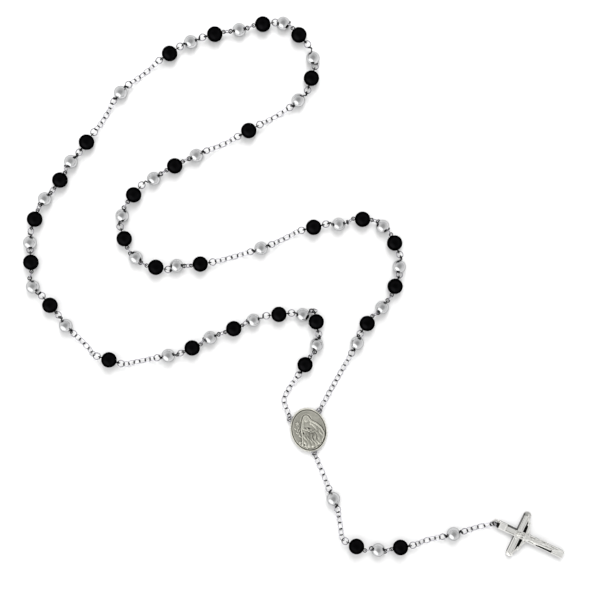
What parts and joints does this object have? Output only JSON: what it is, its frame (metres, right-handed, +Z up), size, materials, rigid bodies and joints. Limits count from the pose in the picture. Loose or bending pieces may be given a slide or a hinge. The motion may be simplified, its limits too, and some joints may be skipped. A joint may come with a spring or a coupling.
{
  "type": "rosary",
  "caption": "Five-decade rosary of round black and metal beads on wire eyes and fine chain, with an oval centre medal and a crucifix, laid out flat.",
  "frame": {"origin": "centre of the layout's bounding box, on the table", "axes": "+Z up from the table, +Y towards the far side of the loop, +X towards the crucifix's side"},
  "size_m": [0.2098, 0.2098, 0.006],
  "materials": {
    "black_bead": "polished black",
    "polished_silver": "mirror polished silver colour",
    "antique_medal": "antique silver colour, darkened in the recesses",
    "antique_cross": "antique silver colour, darkened in the recesses"
  },
  "bodies": {
    "bead_01": {"bead_01": "black_bead"},
    "bead_02": {"bead_02": "polished_silver"},
    "bead_03": {"bead_03": "black_bead"},
    "bead_04": {"bead_04": "polished_silver"},
    "bead_05": {"bead_05": "black_bead"},
    "bead_06": {"bead_06": "polished_silver"},
    "bead_07": {"bead_07": "black_bead"},
    "bead_08": {"bead_08": "polished_silver"},
    "bead_09": {"bead_09": "black_bead"},
    "bead_10": {"bead_10": "polished_silver"},
    "bead_11": {"bead_11": "black_bead"},
    "bead_12": {"bead_12": "polished_silver"},
    "bead_13": {"bead_13": "black_bead"},
    "bead_14": {"bead_14": "polished_silver"},
    "bead_15": {"bead_15": "black_bead"},
    "bead_16": {"bead_16": "polished_silver"},
    "bead_17": {"bead_17": "black_bead"},
    "bead_18": {"bead_18": "polished_silver"},
    "bead_19": {"bead_19": "black_bead"},
    "bead_20": {"bead_20": "polished_silver"},
    "bead_21": {"bead_21": "black_bead"},
    "bead_22": {"bead_22": "polished_silver"},
    "bead_23": {"bead_23": "black_bead"},
    "bead_24": {"bead_24": "polished_silver"},
    "bead_25": {"bead_25": "black_bead"},
    "bead_26": {"bead_26": "polished_silver"},
    "bead_27": {"bead_27": "black_bead"},
    "bead_28": {"bead_28": "polished_silver"},
    "bead_29": {"bead_29": "black_bead"},
    "bead_30": {"bead_30": "polished_silver"},
    "bead_31": {"bead_31": "black_bead"},
    "bead_32": {"bead_32": "polished_silver"},
    "bead_33": {"bead_33": "black_bead"},
    "bead_34": {"bead_34": "polished_silver"},
    "bead_35": {"bead_35": "black_bead"},
    "bead_36": {"bead_36": "polished_silver"},
    "bead_37": {"bead_37": "black_bead"},
    "bead_38": {"bead_38": "polished_silver"},
    "bead_39": {"bead_39": "black_bead"},
    "bead_40": {"bead_40": "polished_silver"},
    "bead_41": {"bead_41": "black_bead"},
    "bead_42": {"bead_42": "polished_silver"},
    "bead_43": {"bead_43": "black_bead"},
    "bead_44": {"bead_44": "polished_silver"},
    "bead_45": {"bead_45": "black_bead"},
    "bead_46": {"bead_46": "polished_silver"},
    "bead_47": {"bead_47": "black_bead"},
    "bead_48": {"bead_48": "polished_silver"},
    "bead_49": {"bead_49": "black_bead"},
    "bead_50": {"bead_50": "polished_silver"},
    "bead_51": {"bead_51": "black_bead"},
    "bead_52": {"bead_52": "polished_silver"},
    "bead_53": {"bead_53": "black_bead"},
    "bead_54": {"bead_54": "polished_silver"},
    "pendant_1": {"pendant_1": "polished_silver"},
    "pendant_2": {"pendant_2": "black_bead"},
    "pendant_4": {"pendant_4": "black_bead"},
    "pendant_5": {"pendant_5": "polished_silver"},
    "medal": {"medal": "antique_medal"},
    "crucifix": {"crucifix": "antique_cross"}
  },
  "joints": [
    {"name": "pivot_01_02", "type": "hinge", "parent": "bead_01", "child": "bead_02", "pos_m": [0.00604, -0.02664, 0.003], "axis": [-0.2195, 0.1371, 0.9659], "range_deg": [0, 60]},
    {"name": "pivot_02_03", "type": "hinge", "parent": "bead_02", "child": "bead_03", "pos_m": [0.00911, -0.01663, 0.003], "axis": [0.9248, 0.1667, 0.342], "range_deg": [-60, 60]},
    {"name": "pivot_03_04", "type": "hinge", "parent": "bead_03", "child": "bead_04", "pos_m": [0.00783, -0.00954, 0.003], "axis": [0.9692, 0.1748, -0.1736], "range_deg": [-20, 60]},
    {"name": "pivot_04_05", "type": "hinge", "parent": "bead_04", "child": "bead_05", "pos_m": [-0.00239, -0.00984, 0.003], "axis": [0.1062, -0.9846, -0.1392], "range_deg": [-60, 0]},
    {"name": "pivot_05_06", "type": "hinge", "parent": "bead_05", "child": "bead_06", "pos_m": [-0.00955, -0.01061, 0.003], "axis": [-0.1068, 0.9905, -0.0872], "range_deg": [-60, 60]},
    {"name": "pivot_06_07", "type": "hinge", "parent": "bead_06", "child": "bead_07", "pos_m": [-0.02012, -0.01441, 0.003], "axis": [-0.1873, 0.4636, 0.866], "range_deg": [0, 60]},
    {"name": "pivot_07_08", "type": "hinge", "parent": "bead_07", "child": "bead_08", "pos_m": [-0.0268, -0.0171, 0.003], "axis": [-0.1281, 0.3171, -0.9397], "range_deg": [-60, 0]},
    {"name": "pivot_08_09", "type": "hinge", "parent": "bead_08", "child": "bead_09", "pos_m": [-0.03626, -0.02178, 0.003], "axis": [0.0698, -0.159, -0.9848], "range_deg": [-60, 0]},
    {"name": "pivot_09_10", "type": "hinge", "parent": "bead_09", "child": "bead_10", "pos_m": [-0.04286, -0.02467, 0.003], "axis": [0.3291, -0.7501, 0.5736], "range_deg": [0, 60]},
    {"name": "pivot_10_11", "type": "hinge", "parent": "bead_10", "child": "bead_11", "pos_m": [-0.06832, -0.02889, 0.003], "axis": [0.2875, 0.9349, 0.2079], "range_deg": [-60, 60]},
    {"name": "pivot_11_12", "type": "hinge", "parent": "bead_11", "child": "bead_12", "pos_m": [-0.0752, -0.02678, 0.003], "axis": [0.2875, 0.9349, -0.2079], "range_deg": [-60, 60]},
    {"name": "pivot_12_13", "type": "hinge", "parent": "bead_12", "child": "bead_13", "pos_m": [-0.09226, -0.00945, 0.003], "axis": [0.7172, 0.6072, 0.342], "range_deg": [0, 60]},
    {"name": "pivot_13_14", "type": "hinge", "parent": "bead_13", "child": "bead_14", "pos_m": [-0.09692, -0.00396, 0.003], "axis": [0.7372, 0.6241, -0.2588], "range_deg": [-60, 60]},
    {"name": "pivot_14_15", "type": "hinge", "parent": "bead_14", "child": "bead_15", "pos_m": [-0.10175, 0.00634, 0.003], "axis": [-0.087, -0.0055, -0.9962], "range_deg": [-60, 3]},
    {"name": "pivot_15_16", "type": "hinge", "parent": "bead_15", "child": "bead_16", "pos_m": [-0.10221, 0.01353, 0.003], "axis": [0.9828, 0.0622, -0.1736], "range_deg": [-60, 60]},
    {"name": "pivot_16_17", "type": "hinge", "parent": "bead_16", "child": "bead_17", "pos_m": [-0.10167, 0.02321, 0.003], "axis": [-0.8891, 0.3043, -0.342], "range_deg": [-60, 60]},
    {"name": "pivot_17_18", "type": "hinge", "parent": "bead_17", "child": "bead_18", "pos_m": [-0.09934, 0.03002, 0.003], "axis": [0.2449, -0.0838, -0.9659], "range_deg": [-60, 60]},
    {"name": "pivot_18_19", "type": "hinge", "parent": "bead_18", "child": "bead_19", "pos_m": [-0.09277, 0.03879, 0.003], "axis": [-0.6731, 0.4668, -0.5736], "range_deg": [-60, 60]},
    {"name": "pivot_19_20", "type": "hinge", "parent": "bead_19", "child": "bead_20", "pos_m": [-0.08867, 0.0447, 0.003], "axis": [-0.1427, 0.099, 0.9848], "range_deg": [-60, 60]},
    {"name": "pivot_20_21", "type": "hinge", "parent": "bead_20", "child": "bead_21", "pos_m": [-0.08259, 0.05353, 0.003], "axis": [0.7885, -0.59, 0.1736], "range_deg": [-60, 60]},
    {"name": "pivot_21_22", "type": "hinge", "parent": "bead_21", "child": "bead_22", "pos_m": [-0.07827, 0.0593, 0.003], "axis": [-0.7832, 0.586, 0.2079], "range_deg": [-60, 60]},
    {"name": "pivot_22_23", "type": "hinge", "parent": "bead_22", "child": "bead_23", "pos_m": [-0.05126, 0.08874, 0.003], "axis": [0.5439, -0.813, 0.2079], "range_deg": [-60, 60]},
    {"name": "pivot_23_24", "type": "hinge", "parent": "bead_23", "child": "bead_24", "pos_m": [-0.04528, 0.09275, 0.003], "axis": [-0.5371, 0.8028, 0.2588], "range_deg": [-60, 60]},
    {"name": "pivot_24_25", "type": "hinge", "parent": "bead_24", "child": "bead_25", "pos_m": [-0.0343, 0.09735, 0.003], "axis": [0.2393, -0.967, 0.0872], "range_deg": [-60, 60]},
    {"name": "pivot_25_26", "type": "hinge", "parent": "bead_25", "child": "bead_26", "pos_m": [-0.02731, 0.09908, 0.003], "axis": [0.0209, -0.0846, -0.9962], "range_deg": [-60, 60]},
    {"name": "pivot_26_27", "type": "hinge", "parent": "bead_26", "child": "bead_27", "pos_m": [-0.01577, 0.1016, 0.003], "axis": [0.0237, -0.172, 0.9848], "range_deg": [-60, 60]},
    {"name": "pivot_28_29", "type": "hinge", "parent": "bead_29", "child": "bead_28", "pos_m": [-0.00065, 0.10057, 0.003], "axis": [-0.0645, -0.0587, 0.9962], "range_deg": [-60, 60]},
    {"name": "pivot_29_30", "type": "hinge", "parent": "bead_30", "child": "bead_29", "pos_m": [0.00419, 0.09524, 0.003], "axis": [0.6703, 0.61, 0.4226], "range_deg": [-60, 60]},
    {"name": "pivot_30_31", "type": "hinge", "parent": "bead_31", "child": "bead_30", "pos_m": [0.0077, 0.08462, 0.003], "axis": [0.9386, -0.298, -0.1736], "range_deg": [-60, 60]},
    {"name": "pivot_31_32", "type": "hinge", "parent": "bead_32", "child": "bead_31", "pos_m": [0.00552, 0.07775, 0.003], "axis": [0.9206, -0.2923, 0.2588], "range_deg": [-60, 60]},
    {"name": "pivot_32_33", "type": "hinge", "parent": "bead_33", "child": "bead_32", "pos_m": [-0.01448, 0.06262, 0.003], "axis": [0.4657, -0.8602, -0.2079], "range_deg": [-60, 60]},
    {"name": "pivot_33_34", "type": "hinge", "parent": "bead_34", "child": "bead_33", "pos_m": [-0.02081, 0.05919, 0.003], "axis": [0.4657, -0.8602, 0.2079], "range_deg": [-60, 60]},
    {"name": "pivot_34_35", "type": "hinge", "parent": "bead_35", "child": "bead_34", "pos_m": [-0.04313, 0.04896, 0.003], "axis": [0.0416, -0.0766, -0.9962], "range_deg": [0, 51]},
    {"name": "pivot_35_36", "type": "hinge", "parent": "bead_36", "child": "bead_35", "pos_m": [-0.04945, 0.04553, 0.003], "axis": [0.1632, -0.3006, 0.9397], "range_deg": [-60, 0]},
    {"name": "pivot_36_37", "type": "hinge", "parent": "bead_37", "child": "bead_36", "pos_m": [-0.05989, 0.03878, 0.003], "axis": [-0.7545, 0.6329, 0.1736], "range_deg": [-60, 60]},
    {"name": "pivot_37_38", "type": "hinge", "parent": "bead_38", "child": "bead_37", "pos_m": [-0.06451, 0.03327, 0.003], "axis": [0.133, -0.1116, 0.9848], "range_deg": [-60, 9]},
    {"name": "pivot_38_39", "type": "hinge", "parent": "bead_39", "child": "bead_38", "pos_m": [-0.06698, 0.02249, 0.003], "axis": [0.9163, 0.3056, -0.2588], "range_deg": [-60, 60]},
    {"name": "pivot_39_40", "type": "hinge", "parent": "bead_40", "child": "bead_39", "pos_m": [-0.0647, 0.01566, 0.003], "axis": [0.1647, 0.0549, 0.9848], "range_deg": [-24, 0]},
    {"name": "pivot_40_41", "type": "hinge", "parent": "bead_41", "child": "bead_40", "pos_m": [-0.05718, 0.00868, 0.003], "axis": [0.0164, 0.0856, -0.9962], "range_deg": [0, 27]},
    {"name": "pivot_41_42", "type": "hinge", "parent": "bead_42", "child": "bead_41", "pos_m": [-0.05011, 0.00733, 0.003], "axis": [0.1874, 0.9784, 0.0872], "range_deg": [-60, 60]},
    {"name": "pivot_42_43", "type": "hinge", "parent": "bead_43", "child": "bead_42", "pos_m": [-0.03997, 0.00867, 0.003], "axis": [-0.08, 0.4936, -0.866], "range_deg": [0, 60]},
    {"name": "pivot_43_44", "type": "hinge", "parent": "bead_44", "child": "bead_43", "pos_m": [-0.03287, 0.00982, 0.003], "axis": [0.1564, -0.9656, -0.2079], "range_deg": [-60, 60]},
    {"name": "pivot_44_45", "type": "hinge", "parent": "bead_45", "child": "bead_44", "pos_m": [0.00397, 0.0226, 0.003], "axis": [-0.2418, 0.9478, -0.2079], "range_deg": [0, 60]},
    {"name": "pivot_45_46", "type": "hinge", "parent": "bead_46", "child": "bead_45", "pos_m": [0.01095, 0.02438, 0.003], "axis": [-0.2387, 0.936, 0.2588], "range_deg": [-60, 0]},
    {"name": "pivot_46_47", "type": "hinge", "parent": "bead_47", "child": "bead_46", "pos_m": [0.0228, 0.02681, 0.003], "axis": [0.0218, 0.3413, -0.9397], "range_deg": [0, 60]},
    {"name": "pivot_47_48", "type": "hinge", "parent": "bead_48", "child": "bead_47", "pos_m": [0.02998, 0.02635, 0.003], "axis": [0.0165, 0.2583, 0.9659], "range_deg": [-60, 0]},
    {"name": "pivot_48_49", "type": "hinge", "parent": "bead_49", "child": "bead_48", "pos_m": [0.03738, 0.02071, 0.003], "axis": [0.1594, 0.0689, -0.9848], "range_deg": [0, 60]},
    {"name": "pivot_49_50", "type": "hinge", "parent": "bead_50", "child": "bead_49", "pos_m": [0.04024, 0.0141, 0.003], "axis": [-0.8626, -0.3727, -0.342], "range_deg": [-60, 60]},
    {"name": "pivot_50_51", "type": "hinge", "parent": "bead_51", "child": "bead_50", "pos_m": [0.04033, 0.00399, 0.003], "axis": [0.8973, -0.3575, -0.2588], "range_deg": [-60, 60]},
    {"name": "pivot_51_52", "type": "hinge", "parent": "bead_52", "child": "bead_51", "pos_m": [0.03767, -0.0027, 0.003], "axis": [-0.081, 0.0323, -0.9962], "range_deg": [0, 60]},
    {"name": "pivot_52_53", "type": "hinge", "parent": "bead_53", "child": "bead_52", "pos_m": [0.03027, -0.0108, 0.003], "axis": [-0.2797, 0.1968, 0.9397], "range_deg": [-60, 0]},
    {"name": "pivot_53_54", "type": "hinge", "parent": "bead_54", "child": "bead_53", "pos_m": [0.02613, -0.01669, 0.003], "axis": [0.8, -0.5629, 0.2079], "range_deg": [-60, 60]},
    {"name": "pivot_medal_left", "type": "hinge", "parent": "medal", "child": "bead_01", "pos_m": [-0.00234, -0.05066, 0.0013], "axis": [0.4877, 0.873, 0], "range_deg": [-60, 60]},
    {"name": "pivot_medal_right", "type": "hinge", "parent": "medal", "child": "bead_54", "pos_m": [0.00995, -0.04702, 0.0013], "axis": [0.8781, -0.4784, 0], "range_deg": [-60, 60]},
    {"name": "pivot_medal_foot", "type": "hinge", "parent": "medal", "child": "pendant_1", "pos_m": [0.00787, -0.0647, 0.0013], "axis": [-0.9724, -0.2334, 0], "range_deg": [-60, 60]},
    {"name": "pivot_pendant_1_2", "type": "hinge", "parent": "pendant_1", "child": "pendant_2", "pos_m": [0.0208, -0.09851, 0.003], "axis": [0.4172, 0.8847, -0.2079], "range_deg": [-60, 60]},
    {"name": "pivot_pendant_3_4", "type": "hinge", "parent": "pendant_2", "child": "pendant_4", "pos_m": [0.03755, -0.10109, 0.003], "axis": [-0.0315, 0.1708, -0.9848], "range_deg": [-60, 60]},
    {"name": "pivot_pendant_4_5", "type": "hinge", "parent": "pendant_4", "child": "pendant_5", "pos_m": [0.04463, -0.09978, 0.003], "axis": [-0.1775, 0.9619, 0.2079], "range_deg": [-60, 60]},
    {"name": "pivot_crucifix", "type": "hinge", "parent": "pendant_5", "child": "crucifix", "pos_m": [0.07766, -0.09093, 0.0013], "axis": [-0.4303, -0.9027, 0], "range_deg": [-60, 60]}
  ]
}
